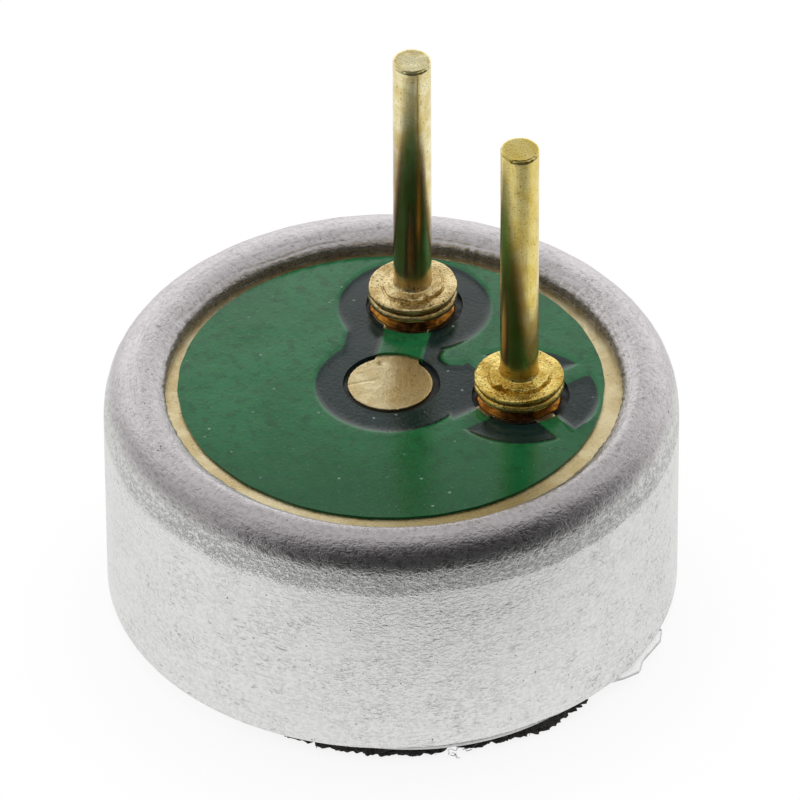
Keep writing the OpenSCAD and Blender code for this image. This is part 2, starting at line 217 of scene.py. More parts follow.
def grain(points, size, octaves=3, shift=0.0):
    """Smooth noise of about -1 to 1 at each point, with features of that size."""
    return np.array([
        noise.fractal(Vector(p) / size + Vector((shift, -shift, shift)), 1.0, 2.0, octaves)
        for p in np.asarray(points).reshape(-1, 3)
    ])


def ripple(turn, seed, lowest, highest):
    """Closed random wave round a circle, about -1 to 1."""
    random = np.random.default_rng(seed)
    waves = np.arange(lowest, highest + 1)
    phase = random.uniform(0, 2 * np.pi, len(waves))
    size = random.uniform(0.4, 1, len(waves)) / np.sqrt(len(waves))
    turn = np.asarray(turn, float)
    total = np.zeros_like(turn)
    for k, p, s in zip(waves, phase, size):
        total += s * np.cos(k * turn + p)
    return total


def line(start, end, count):
    """Points from start to end, without the end."""
    t = np.linspace(0, 1, count, endpoint=False)[:, None]
    return np.array(start) * (1 - t) + np.array(end) * t


def arc(centre, radius, first, last, count):
    """Points on an arc between two angles in degrees, without the last."""
    a = np.radians(np.linspace(first, last, count, endpoint=False))
    return np.array(centre) + radius * np.column_stack([np.cos(a), np.sin(a)])


def corner(before, at, after, count):
    """Points that round a corner, without the last."""
    t = np.linspace(0, 1, count, endpoint=False)[:, None]
    before, at, after = map(np.array, (before, at, after))
    return before * (1 - t) ** 2 + 2 * at * t * (1 - t) + after * t ** 2


def turns(count):
    return np.arange(count) * 2 * np.pi / count


# Mesh helpers

def add_object(name, data):
    item = bpy.data.objects.new(name, data)
    bpy.context.scene.collection.objects.link(item)
    return item


def make_piece(name, verts, faces, slot, replaces=(), sharp=None, attributes=None):
    """One object from points in millimetres, which rides on the frame."""
    mesh = bpy.data.meshes.new(name)
    mesh.from_pydata((np.asarray(verts) * MM).tolist(), [], faces)
    mesh.polygons.foreach_set("use_smooth", np.ones(len(mesh.polygons), bool))
    if sharp is not None:
        mesh.set_sharp_from_angle(angle=math.radians(sharp))
    for key, values in (attributes or {}).items():
        mesh.attributes.new(key, "FLOAT", "POINT").data.foreach_set("value", np.asarray(values, np.float32))
    mesh.materials.append(FINISHES[slot])
    piece = add_object(name, mesh)
    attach(piece, "root")
    if replaces:
        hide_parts(*replaces)
    return piece


def ring_faces(steps, count):
    """Quads of a surface of steps turns by count points, closed both ways."""
    i, j = np.meshgrid(np.arange(steps), np.arange(count), indexing="ij")
    i2, j2 = (i + 1) % steps, (j + 1) % count
    quads = (i * count + j, i2 * count + j, i2 * count + j2, i * count + j2)
    return np.stack(quads, -1).reshape(-1, 4).tolist()


def turned(radius, height, turn, at=(0, 0)):
    """Points of a turned surface from arrays of radius and height per turn and step."""
    return np.stack([
        at[0] + radius * np.cos(turn)[:, None],
        at[1] + radius * np.sin(turn)[:, None],
        height,
    ], -1).reshape(-1, 3)


def spindle(radius, height, turn, at):
    """Points and faces of a turned solid whose section starts and ends on its axis."""
    steps, count = radius.shape
    verts = turned(radius, height, turn, at)
    foot, top = len(verts), len(verts) + 1
    verts = np.vstack([verts, [(*at, height[:, 0].mean()), (*at, height[:, -1].mean())]])
    faces = []
    for i in range(steps):
        a, b = i * count, (i + 1) % steps * count
        faces += [(a + j, b + j, b + j + 1, a + j + 1) for j in range(count - 1)]
        faces.append((foot, b, a))
        faces.append((top, a + count - 1, b + count - 1))
    return verts, faces


def hex_grid(reach, step):
    x, y = np.meshgrid(np.arange(-reach, reach, step), np.arange(-reach, reach, step * 0.866))
    x[1::2] += step / 2
    return np.column_stack([x.ravel(), y.ravel()])


def slope(field, p):
    h = 1e-4
    east, north = np.array((h, 0)), np.array((0, h))
    return np.column_stack([
        field(p + east) - field(p - east),
        field(p + north) - field(p - north),
    ]) / (2 * h)


def on_levels(field, levels, reach, step):
    """Points about one step apart on the level lines of a field."""
    levels = np.array(levels)
    p = hex_grid(reach, step)
    d = field(p)
    p = p[(d > levels.min() - step) & (d < levels.max() + step)]
    for _ in range(4):
        d = field(p)
        level = levels[np.abs(d[:, None] - levels).argmin(1)]
        g = slope(field, p)
        p = p - ((d - level) / np.maximum((g * g).sum(1), 0.2))[:, None] * g
    p = p[np.abs(field(p) - level) < 1e-3]
    return p[np.unique(np.round(p / (0.7 * step)), axis=0, return_index=True)[1]]


def sheet(name, field, top, bottom, slot, replaces, reach, fill,
          bands=(), edge=(0, -0.008, -0.02), step=0.014, attributes=()):
    """Closed sheet over the area where field is below 0, between the heights top and bottom."""
    points = [on_levels(field, edge, reach, step)]
    coarse = hex_grid(reach, fill)
    coarse = coarse[field(coarse) < min(edge) - fill / 2]
    for other, levels in bands:
        near = on_levels(other, levels, reach, step)
        points.append(near[field(near) < min(edge) - step / 2])
        d = other(coarse)
        coarse = coarse[(d < min(levels) - fill / 2) | (d > max(levels) + fill / 2)]
    flat = np.vstack([*points, coarse])
    made = delaunay_2d_cdt([Vector(p) for p in flat], [], [], 0, 1e-6, False)
    flat = np.array([tuple(v) for v in made[0]])
    tris = np.array(made[2])
    tris = tris[field(flat[tris].mean(1)) < -1e-4]
    a, b, c = flat[tris[:, 0]], flat[tris[:, 1]], flat[tris[:, 2]]
    turn = (b[:, 0] - a[:, 0]) * (c[:, 1] - a[:, 1]) - (b[:, 1] - a[:, 1]) * (c[:, 0] - a[:, 0])
    tris = np.where((turn < 0)[:, None], tris[:, ::-1], tris)[np.abs(turn) > 1e-9]
    used, tris = np.unique(tris, return_inverse=True)
    tris, flat = tris.reshape(-1, 3), flat[used]
    count = len(flat)
    edges = np.vstack([tris[:, (0, 1)], tris[:, (1, 2)], tris[:, (2, 0)]])
    there = set(map(tuple, edges.tolist()))
    rim = [e for e in there if (e[1], e[0]) not in there]
    faces = tris.tolist() + (tris[:, ::-1] + count).tolist()
    faces += [(e[1], e[0], e[0] + count, e[1] + count) for e in rim]
    verts = np.vstack([np.column_stack([flat, top(flat)]), np.column_stack([flat, bottom(flat)])])
    extra = {key: np.tile(value(flat), 2) for key, value in attributes}
    return make_piece(name, verts, faces, slot, replaces, sharp=50, attributes=extra)


# Fields of the printed pattern: below 0 inside a shape, in millimetres from its edge

def disc(p, at, radius):
    return np.hypot(p[:, 0] - at[0], p[:, 1] - at[1]) - radius


def bar(p, at, angle, x0, x1, y0, y1):
    """Rectangle in axes that start at a point and lie at an angle."""
    dx, dy = p[:, 0] - at[0], p[:, 1] - at[1]
    x = dx * math.cos(angle) + dy * math.sin(angle)
    y = dy * math.cos(angle) - dx * math.sin(angle)
    out_x = np.abs(x - (x0 + x1) / 2) - (x1 - x0) / 2
    out_y = np.abs(y - (y0 + y1) / 2) - (y1 - y0) / 2
    return np.hypot(np.maximum(out_x, 0), np.maximum(out_y, 0)) + np.minimum(np.maximum(out_x, out_y), 0)


def polygon(p, points):
    inside, nearest = np.zeros(len(p), bool), np.full(len(p), np.inf)
    for a, b in zip(np.array(points), np.roll(points, -1, 0)):
        side = b - a
        t = np.clip((p - a) @ side / (side @ side), 0, 1)[:, None]
        nearest = np.minimum(nearest, np.linalg.norm(p - a - t * side, axis=1))
        level = (a[1] > p[:, 1]) != (b[1] > p[:, 1])
        inside ^= level & (p[:, 0] < a[0] + (p[:, 1] - a[1]) * side[0] / (side[1] or 1))
    return np.where(inside, -nearest, nearest)


def join(a, b, blend=0.04):
    """Union of two fields with a small fillet where they meet."""
    h = np.maximum(blend - np.abs(a - b), 0) / blend
    return np.minimum(a, b) - h * h * blend / 4


def cut(a, b, blend=0.04):
    return -join(-a, b, blend)


def spokes(p):
    half = SPOKE_W / 2
    return np.minimum(
        bar(p, GROUND, 0, -1, 1, -half, half),
        bar(p, GROUND, 0, -half, half, -1, 1),
    )


def etched(p):
    """Area without ground copper."""
    area = join(disc(p, CENTRE, ETCH_R), disc(p, OUTPUT, ETCH_R))
    area = join(area, bar(p, CENTRE, TRACK_ANGLE, 0, TRACK_L, 0, TRACK_CLEAR))
    area = cut(area, disc(p, CENTRE + (0, ETCH_R), TONGUE_R))
    round_ground = cut(disc(p, GROUND, ETCH_R), np.minimum(spokes(p), disc(p, GROUND, PAD_R)), 0.02)
    return np.minimum(area, round_ground)


def output_area(p):
    pads = np.minimum(disc(p, CENTRE, PAD_R), disc(p, OUTPUT, PAD_R))
    return join(pads, bar(p, CENTRE, TRACK_ANGLE, 0, TRACK_L, -TRACK_W / 2, TRACK_W / 2), 0.02)


def ground_area(p):
    return np.maximum(disc(p, (0, 0), COPPER_R), -etched(p))


def to_copper(p):
    """Distance from the nearest copper, below 0 on it."""
    return np.minimum(-etched(p), output_area(p))


def lacquer_area(p):
    turn = np.arctan2(p[:, 1], p[:, 0])
    area = disc(p, (0, 0), LACQUER_R + LACQUER_SWAY * ripple(turn, 5, 4, 40))
    for k, at in enumerate(np.array((CENTRE, OUTPUT, GROUND)) + OPEN_ASIDE):
        turn = np.arctan2(p[:, 1] - at[1], p[:, 0] - at[0])
        area = np.maximum(area, -disc(p, at, OPEN_R + LACQUER_SWAY * ripple(turn, 20 + k, 2, 9)))
    return area


# Heights of the board's layers

def sway(p, size, amount, shift):
    return amount * grain(np.column_stack([p, np.zeros(len(p))]), size, 2, shift)


def to_etched_edge(p):
    return to_copper(p - ETCH_ASIDE)


def lacquer_top(p):
    """Lacquer that nearly fills the gaps and stands up at one blister."""
    lacquer_t = LACQUER_Z - COPPER_Z
    copper_t = COPPER_Z - CORE_Z
    d = to_etched_edge(p)
    raised = FILLED + (1 - FILLED) * smooth((STEP_OUT - d) / STEP_W)
    lift = BLISTER_H * hump(disc(p, BLISTER_AT, 0), BLISTER_R) * hump(d + 0.012, BLISTER_W)
    return CORE_Z + lacquer_t + copper_t * raised + lift + sway(p, 0.5, 0.0012, 3.0)


def lacquer_foot(p):
    return np.where(to_copper(p) < 0.004, COPPER_Z - 0.001, CORE_Z + 0.001)


def over_gap(p):
    return smooth((to_etched_edge(p) + 0.004) / 0.02)


def rounded(field, height, radius=0.012):
    def top(p):
        into_edge = np.clip(1 + field(p) / radius, 0, 1)
        return height - radius * 0.8 * (1 - np.sqrt(1 - into_edge ** 2))
    return top


def pad_top(p):
    """Top of the output copper, with a scratch and a pit in the centre pad."""
    angle = math.atan2(0.08, 0.28) + AZIMUTH
    scratch = bar(p, seen(-0.42, -0.02), angle, 0, SCRATCH_L, -0.001, 0.001)
    z = rounded(output_area, COPPER_Z)(p)
    z = z - SCRATCH * hump(np.maximum(scratch, 0), SCRATCH_W)
    z = z - PIT * hump(disc(p, seen(-0.09, 0.34), 0), PIT_R)
    return z + sway(p, 0.12, 0.0016, 7.0)


# Case

def case_loop():
    """Half section of the case as a closed loop of radius and height."""
    bore = CASE_R - WALL_T
    inside = FACE_Z + FRONT_T
    below_crimp = CRIMP_Z - 0.09
    corner_z, corner_r = LIP_FOOT + LIP_EDGE, LIP_IN + LIP_EDGE
    shoulder_end = 90 + math.degrees(math.asin((FOLD_IN - LIP_IN) / SHOULDER_R))
    return np.vstack([
        line((INLET_R, FACE_Z), (CASE_R - EDGE_R, FACE_Z), 14),
        arc((CASE_R - EDGE_R, FACE_Z + EDGE_R), EDGE_R, -90, 0, 9),
        line((CASE_R, FACE_Z + EDGE_R), (CASE_R, below_crimp), 22),
        line((CASE_R, below_crimp), (CASE_R, RIM_Z - RIM_R), 20),
        arc((FOLD_IN, RIM_Z - RIM_R), RIM_R, 0, 90, 40),
        arc((FOLD_IN, RIM_Z - SHOULDER_R), SHOULDER_R, 90, shoulder_end, 26),
        line((LIP_IN, RIM_Z - LIP_DROP), (LIP_IN, corner_z), 10),
        corner((LIP_IN, corner_z), (LIP_IN, LIP_FOOT), (corner_r, LIP_FOOT), 4),
        line((corner_r, LIP_FOOT), (bore - FOLD_R, LIP_FOOT), 5),
        arc((bore - FOLD_R, LIP_FOOT - FOLD_R), FOLD_R, 90, 0, 5),
        line((bore, LIP_FOOT - FOLD_R), (bore, inside), 4),
        line((bore, inside), (INLET_R, inside), 6),
        line((INLET_R, inside), (INLET_R, FACE_Z), 4),
    ])


def grain_where(marked, place, size, octaves, shift=0.0):
    """Noise at the marked points of a grid, and 0 at the others."""
    values = np.zeros(marked.shape)
    values[marked] = grain(place.reshape(*marked.shape, 3)[marked], size, octaves, shift)
    return values


def lip_creases(r, z, turn, back):
    """Depth of the creases along the lip, deepest at the back."""
    depth = np.zeros_like(r)
    for gap, deepest, seed in CREASES:
        at = LIP_IN + gap + CREASE_SWAY * ripple(turn, seed, 2, 16)[:, None]
        crease = hump(r - at, CREASE_W) * (z > RIM_Z - LIP_DROP + 0.005)
        depth += deepest * crease * (0.1 + back) * smooth(0.5 + ripple(turn, seed + 5, 2, 14))[:, None]
    return depth


def case_shell():
    loop, turn = case_loop(), turns(540)
    steps, count = len(turn), len(loop)
    out, up = loop.T
    ahead = np.roll(loop, -1, 0) - np.roll(loop, 1, 0)
    normal = np.column_stack([ahead[:, 1], -ahead[:, 0]]) / np.maximum(np.hypot(*ahead.T), 1e-9)[:, None]
    r, z = np.tile(out, (steps, 1)), np.tile(up, (steps, 1))
    place = turned(r, z, turn)
    outside = (out > CASE_R - WALL_T + 0.05) | (up > LIP_FOOT + 0.015)
    above_foot = up > LIP_FOOT - 0.001
    # The fold is worked by the crimping tool, and its lip is sheared and torn
    back = smooth(0.5 - np.cos(turn - FRONT_TURN))[:, None]
    folded = smooth((up - CRIMP_Z) / 0.2) * outside
    sheared = smooth((LIP_IN + 0.025 - out) / 0.02) * (up > LIP_FOOT + 0.01)
    near_lip = smooth((LIP_IN + 0.16 - out) / 0.15) * above_foot
    lip_end = FOLD_IN + LIP_REACH
    lip_part = smooth((lip_end - out) / (lip_end - LIP_IN)) * above_foot
    dents = grain_where(np.tile(folded > 0.01, (steps, 1)), place, DENT_SIZE, 2)
    torn = grain_where(np.tile(sheared > 0.01, (steps, 1)), place, TEAR_SIZE, 3, 5.0)
    border = CRIMP_Z + BORDER_SWAY * ripple(turn, 51, 2, 22)[:, None]
    push = WAVE * ripple(turn, 11, 2, 5)[:, None] * outside
    push = push + DENT * dents * folded + TEAR * torn * sheared * (0.35 + 0.65 * back)
    push = push - lip_creases(r, z, turn, back)
    push = push - TOOL_PRESS * smooth((z - border) / 0.26) * smooth((RIM_Z - z) / 0.25) * outside
    edge = LIP_TRIM + LIP_SWAY * ripple(turn, 41, 5, 40) + LIP_NICK * ripple(turn, 42, 60, 180)
    pressed = LIP_PRESS * smooth(np.cos(turn - FRONT_TURN))[:, None] * lip_part ** 2
    aside = LIP_ASIDE[0] * np.cos(turn) + LIP_ASIDE[1] * np.sin(turn)
    r = r + push * normal[:, 0] + edge[:, None] * near_lip ** 2 + aside[:, None] * lip_part
    z = z + push * normal[:, 1] - pressed * (up > LIP_FOOT + 0.03)
    profile = np.cumsum(np.hypot(*np.diff(loop, axis=0, prepend=loop[:1]).T))
    attributes = {
        "zone": np.where(outside, z - border, -1).ravel(),
        "sheared": np.tile(sheared, steps),
        "vague": np.repeat(smooth(0.4 - 1.6 * np.sin(turn - FRONT_TURN)), count),
        "profile": np.tile(profile, steps),
    }
    verts, faces = turned(r, z, turn), ring_faces(steps, count)
    make_piece("case_shell", verts, faces, "case_aluminium", ("case",), attributes=attributes)


# Felt, its loose fibres, and the film

def felt_disc():
    turn = turns(600)
    from_front = np.remainder(turn - FRONT_TURN + np.pi, 2 * np.pi) - np.pi
    edge = FELT_R + np.interp(np.degrees(from_front), *zip(*FELT_CUT))
    edge = edge + FELT_SWAY * ripple(turn, 61, 3, 30) + FELT_NICK * ripple(turn, 62, 30, 190)
    edge = edge - TORN_DEEP * hump(from_front - TORN_AT, TORN_W)
    out, up = np.vstack([
        line((0.02, 0), (0.90, 0), 60),
        line((0.90, 0), (0.968, 0), 6),
        line((0.968, 0), (0.995, 0.15), 5),
        line((0.995, 0.15), (1, 0.5), 4),
        line((1, 0.5), (0.985, 0.9), 4),
        line((0.985, 0.9), (0.94, 1), 6),
        line((0.94, 1), (0.02, 1), 12),
    ]).T
    r = edge[:, None] * out
    z = np.tile(up * FELT_Z, (len(turn), 1))
    place = turned(r, z, turn)
    loose = smooth((out - 0.9) / 0.08)
    fuzz = grain(place, FUZZ_SIZE, 3, 2.0).reshape(r.shape) * loose
    fuzz = fuzz + grain(place, NAP_SIZE, 2, 2.0).reshape(r.shape) * (1 - loose)
    r = r + FUZZ * fuzz * loose
    z = np.where(up < 0.5, z + 0.012 + 0.014 * fuzz, z - 0.004 - 0.008 * np.abs(fuzz))
    verts, faces = spindle(r, np.clip(z, 0.001, FELT_Z - 0.001), turn, FELT_AT)
    make_piece("felt_disc", verts, faces, "black_felt", ("dust_felt",))


def tube(path, radius, sides=5):
    """Points and faces of a thin tapering tube along a path."""
    path = np.asarray(path)
    ahead = np.gradient(path, axis=0)
    ahead /= np.linalg.norm(ahead, axis=1)[:, None]
    across = np.cross(ahead, (0.31, 0.17, 0.93))
    across /= np.linalg.norm(across, axis=1)[:, None]
    other = np.cross(ahead, across)
    a = turns(sides)
    thick = radius * (1 - 0.6 * np.linspace(-1, 1, len(path)) ** 4)[:, None, None]
    section = np.cos(a)[:, None] * across[:, None] + np.sin(a)[:, None] * other[:, None]
    verts = path[:, None] + thick * section
    faces = []
    for i in range(len(path) - 1):
        for j in range(sides):
            k = (j + 1) % sides
            faces.append((i * sides + j, i * sides + k, (i + 1) * sides + k, (i + 1) * sides + j))
    last = (len(path) - 1) * sides
    faces.append(tuple(range(sides))[::-1])
    faces.append(tuple(range(last, last + sides)))
    return verts.reshape(-1, 3), faces


def felt_fibres():
    random = np.random.default_rng(71)
    verts, faces = [], []

    def add(path, radius, sides=5):
        start = sum(map(len, verts))
        points, quads = tube(path, radius, sides)
        verts.append(points)
        faces.extend(tuple(i + start for i in quad) for quad in quads)
    t = np.linspace(0, 1, 9)
    for k in range(FIBRES):
        torn = k < TORN_FIBRES
        on_edge = torn or k % 3 > 0
        turn = FRONT_TURN + TORN_AT + random.uniform(-0.05, 0.05) if torn else random.uniform(0, 2 * np.pi)
        radius = FELT_R * (random.uniform(0.965, 1.0) if on_edge else math.sqrt(random.uniform(0.02, 0.95)))
        at = FELT_AT + radius * np.array((math.cos(turn), math.sin(turn)))
        length = random.uniform(0.09, 0.14) if torn else random.uniform(0.03, 0.09)
        lean = turn + random.uniform(-1.5, 1.5) if on_edge else random.uniform(0, 2 * np.pi)
        heading = lean + random.uniform(-2.2, 2.2) * (t - 0.5)
        flat = at + np.cumsum(length / len(t) * np.column_stack([np.cos(heading), np.sin(heading)]), 0)
        low = random.uniform(0.008, 0.09) if on_edge else 0.006
        height = low + random.uniform(-0.03, 0.04) * t + 0.012 * np.sin(6 * t + k)
        path = np.column_stack([flat, np.clip(height, FIBRE_LOW, FELT_Z - 0.012)])
        add(path, random.uniform(0.0025, 0.005))
    # Crumbs of felt caught on the case's lower edge
    for x, y, half, radius in CRUMBS:
        steps = np.linspace(-1, 1, 7)[:, None]
        add(np.array((x, y, FACE_Z + 0.012)) + steps * np.array((-0.2, 1, 0.1)) * half, radius, 7)
    make_piece("felt_fibres", np.vstack(verts), faces, "black_felt")


def film_area(p):
    ring = np.maximum(disc(p, FELT_AT, FELT_R + 0.005), -disc(p, FELT_AT, FELT_R - FILM_W))
    return np.minimum(ring, polygon(p, FILM_TAB))


def film_ring():
    def foot(p):
        return np.full(len(p), FELT_Z + 0.001)

    def border(p):
        return smooth(1 + film_area(p) / 0.016)

    # Painted highlight: the film under the case's lower edge is white
    def painted_hem_highlight(p):
        return smooth((CASE_R - 0.01 - disc(p, (0, 0), 0)) / 0.03)
    top = rounded(film_area, FILM_Z - 0.001, 0.01)
    sheet("film_ring", film_area, top, foot, "clear_film", ("felt_adhesive",), 3.4, 0.1,
          edge=(0, -0.006, -0.012, -0.024), step=0.02, attributes=(("border", border), ("painted_hem_highlight", painted_hem_highlight)))


# Board: copper and lacquer

def board_layers():
    def core_top(p):
        return np.full(len(p), CORE_Z)

    # Painted shade on the front right of the ground copper
    def painted_shade_front_right(p):
        return 1.15 * hump(np.arctan2(p @ RIGHT, p @ FRONT) - 0.36, 0.5)
    sheet("ground_copper", ground_area, rounded(ground_area, COPPER_Z), core_top, "plated_copper",
          ("outer_ground_copper",), COPPER_R + 0.1, 0.09, attributes=(("painted_shade_front_right", painted_shade_front_right),))

    # Painted shade: the output copper is darker toward its right side
    def painted_shade_right(p):
        return smooth(((p - CENTRE) @ RIGHT + 0.24) / 0.5 + sway(p, 0.2, 0.35, 12.0))
    sheet("output_copper", output_area, pad_top, core_top, "plated_copper", ("outer_output_copper",),
          COPPER_R, 0.018, attributes=(("painted_shade_right", painted_shade_right),))
    sheet("lacquer", lacquer_area, lacquer_top, lacquer_foot, "mask_green", ("solder_mask",),
          LACQUER_R + 0.1, 0.06, edge=(0, -0.014), attributes=(("gap", over_gap),),
          bands=((to_etched_edge, (-0.036, -0.024, -0.012, 0, 0.012, 0.024, 0.036, 0.05)),))


# Pins

def pin_section():
    """Half section of a pin from its underside to its tip, as radius and height above the pad."""
    low = FLANGE_Z - COPPER_Z
    upper = low + LOWER_T + GROOVE_H
    collar = upper + UPPER_T
    top = TIP_Z - COPPER_Z
    lower_edge = FLANGE_R - LOWER_T / 2
    upper_edge = FLANGE_R - UPPER_T / 2
    edge_top = collar + COLLAR_EDGE
    ledge = (COLLAR_R - 0.02, edge_top)
    neck = (PIN_R + 0.03, collar + 0.8 * COLLAR_H)
    foot = (PIN_R, collar + COLLAR_H + 0.03)
    return np.vstack([
        line((0.05, low), (lower_edge, low), 5),
        arc((lower_edge, low + LOWER_T / 2), LOWER_T / 2, -90, 90, 16),
        line((lower_edge, low + LOWER_T), (GROOVE_R, low + LOWER_T), 3),
        line((GROOVE_R, low + LOWER_T), (GROOVE_R, upper), 3),
        line((GROOVE_R, upper), (upper_edge, upper), 3),
        arc((upper_edge, upper + UPPER_T / 2), UPPER_T / 2, -90, 90, 16),
        line((upper_edge, collar), (COLLAR_R + 0.035, collar), 12),
        line((COLLAR_R + 0.035, collar), (COLLAR_R, collar), 14),
        line((COLLAR_R, collar), (COLLAR_R - 0.004, edge_top - 0.008), 5),
        corner((COLLAR_R - 0.004, edge_top - 0.008), (COLLAR_R - 0.006, edge_top), ledge, 6),
        line(ledge, neck, 10),
        corner(neck, (PIN_R + 0.004, neck[1] + 0.003), foot, 8),
        line(foot, (PIN_R, top - 0.1), 70),
        line((PIN_R, top - 0.1), (PIN_R, top - TIP_R), 12),
        arc((PIN_R - TIP_R, top - TIP_R), TIP_R, 0, 90, 8),
        line((PIN_R - TIP_R, top), (0.02, top), 8),
    ])


def pin(name, node, at, seed, torn_at, torn_width, bent, painted_dark_reflection_top, painted_dark_reflection_width):
    out, up = pin_section().T
    turn = turns(216)
    r, h = np.tile(out, (len(turn), 1)), np.tile(up, (len(turn), 1))
    upper = FLANGE_Z - COPPER_Z + LOWER_T + GROOVE_H
    collar, top = upper + UPPER_T, TIP_Z - COPPER_Z
    place = turned(r, h, turn).reshape(*r.shape, 3)
    coarse = grain(place, PIN_COARSE, 2, seed).reshape(r.shape)
    fine = grain(place, PIN_FINE, 2, seed + 3.0).reshape(r.shape)
    uneven = grain(place * (1, 1, 0.35), 0.2, 2, seed + 6.0).reshape(r.shape)

    def wave(number, lowest, highest):
        return ripple(turn, number + seed, lowest, highest)[:, None]

    def side(angle, least, blend):
        """1 on the side that faces an angle off the front, 0 on the other."""
        return smooth((np.cos(turn - FRONT_TURN - angle) - least) / blend)[:, None]
    # Wavy flange edges, the upper one bent up on one side
    flange = (up < collar + 0.001) & (out > GROOVE_R - 0.001)
    outer = smooth((out - PIN_R) / 0.2) * (up > upper - 0.001) * (out > PIN_R + 0.01)
    r = r + flange * (FLANGE_WAVE * coarse + 0.0015 * fine)
    h = h + outer * (bent * (1 + np.sin(turn - FRONT_TURN))[:, None] + FLANGE_BEND * wave(70, 2, 7))
    # Pressed top, and the collar torn along part of its foot
    on_top = smooth((out - PIN_R - 0.02) / 0.03) * (up > collar - 0.01)
    h = h + on_top * (TOP_WAVE * coarse + 0.0014 * fine)
    torn = side(torn_at, math.cos(torn_width), 0.25)
    ragged = COLLAR_SWAY * wave(80, 2, 7) + COLLAR_TEAR * torn * wave(90, 7, 20)
    r = r + ragged * hump(out - COLLAR_R, 0.035) * (up > collar - 0.004)
    groove = hump(out - COLLAR_R - 0.010, 0.008) * (up < collar + 0.004) * on_top
    h = h - groove * (GROOVE_DEEP + GROOVE_TORN * torn)
    lip = smooth((out - COLLAR_R + 0.05) / 0.04) * (up > collar + 0.004) * on_top
    h = h + LIFTED * lip * torn * (0.4 + wave(95, 3, 16))
    # The shaft is a little uneven, and the shear left a burr over the tip's front edge
    shaft = smooth((up - collar - 0.1) / 0.2)
    r = r + shaft * SHAFT_WAVE * uneven
    burr = BURR * hump(up - top + 0.012, BURR_W) - BURR_FOOT * hump(up - top + 0.042, BURR_W)
    r = r + side(0.15, 0.1, 0.6) * burr * (out > PIN_R - 0.02) * (0.8 + 0.4 * wave(100, 4, 20))
    h = h + (up > top - 0.004) * (0.0015 * coarse + 0.0005 * fine - 0.002)
    verts, faces = spindle(r, COPPER_Z + h, turn, at)
    # Painted dark reflection on the front left of the lower shaft
    painted_dark_reflection = side(-0.45, math.cos(painted_dark_reflection_width), 0.4) * smooth((painted_dark_reflection_top - up) / 0.9) * shaft
    make_piece(name, verts, faces, "pin_gold", (node,), attributes={
        "shaft": np.append(np.tile(shaft, len(turn)), (0, 1)),
        "painted_dark_reflection": np.append(painted_dark_reflection.ravel(), (0, 0)),
    })


def solder_joint(name, node, at, seed):
    """Waisted ring of solder between a pad and a flange."""
    turn = turns(96)
    gap = FLANGE_Z - COPPER_Z
    t = np.linspace(0, 1, 12)
    waist = NECK_R - WAIST * np.sin(np.pi * t) + (PAD_R + 0.006 - NECK_R) * (1 - t) ** 3
    section = np.vstack([line((0.05, 0), (waist[0], 0), 4), np.column_stack([waist, gap * t]), [(0.05, gap)]])
    wave = SOLDER_WAVE * ripple(turn, seed, 2, 9) + SOLDER_RIPPLE * ripple(turn, seed + 1, 9, 26)
    r = section[:, 0] + wave[:, None] * (section[:, 0] > 0.3)
    z = COPPER_Z + np.tile(section[:, 1], (len(turn), 1))
    verts, faces = spindle(r, z, turn, at)
    # Painted light: glints on the left and right sides, painted shade at the front and back
    sides = smooth((np.abs(np.sin(turn - FRONT_TURN)) - 0.25) / 0.6)
    make_piece(name, verts, faces, "pin_solder", (node,),
               attributes={"bare": np.append(np.repeat(sides, len(section)), (0, 0))})


# Material helpers

def srgb(*rgb):
    """Linear colour from 0 to 255 values as they show on a screen."""
    c = np.array(rgb) / 255
    return (*np.where(c < 0.04045, c / 12.92, ((c + 0.055) / 1.055) ** 2.4), 1.0)


def grey(level):
    return (level, level, level, 1)


FINISHES = {}


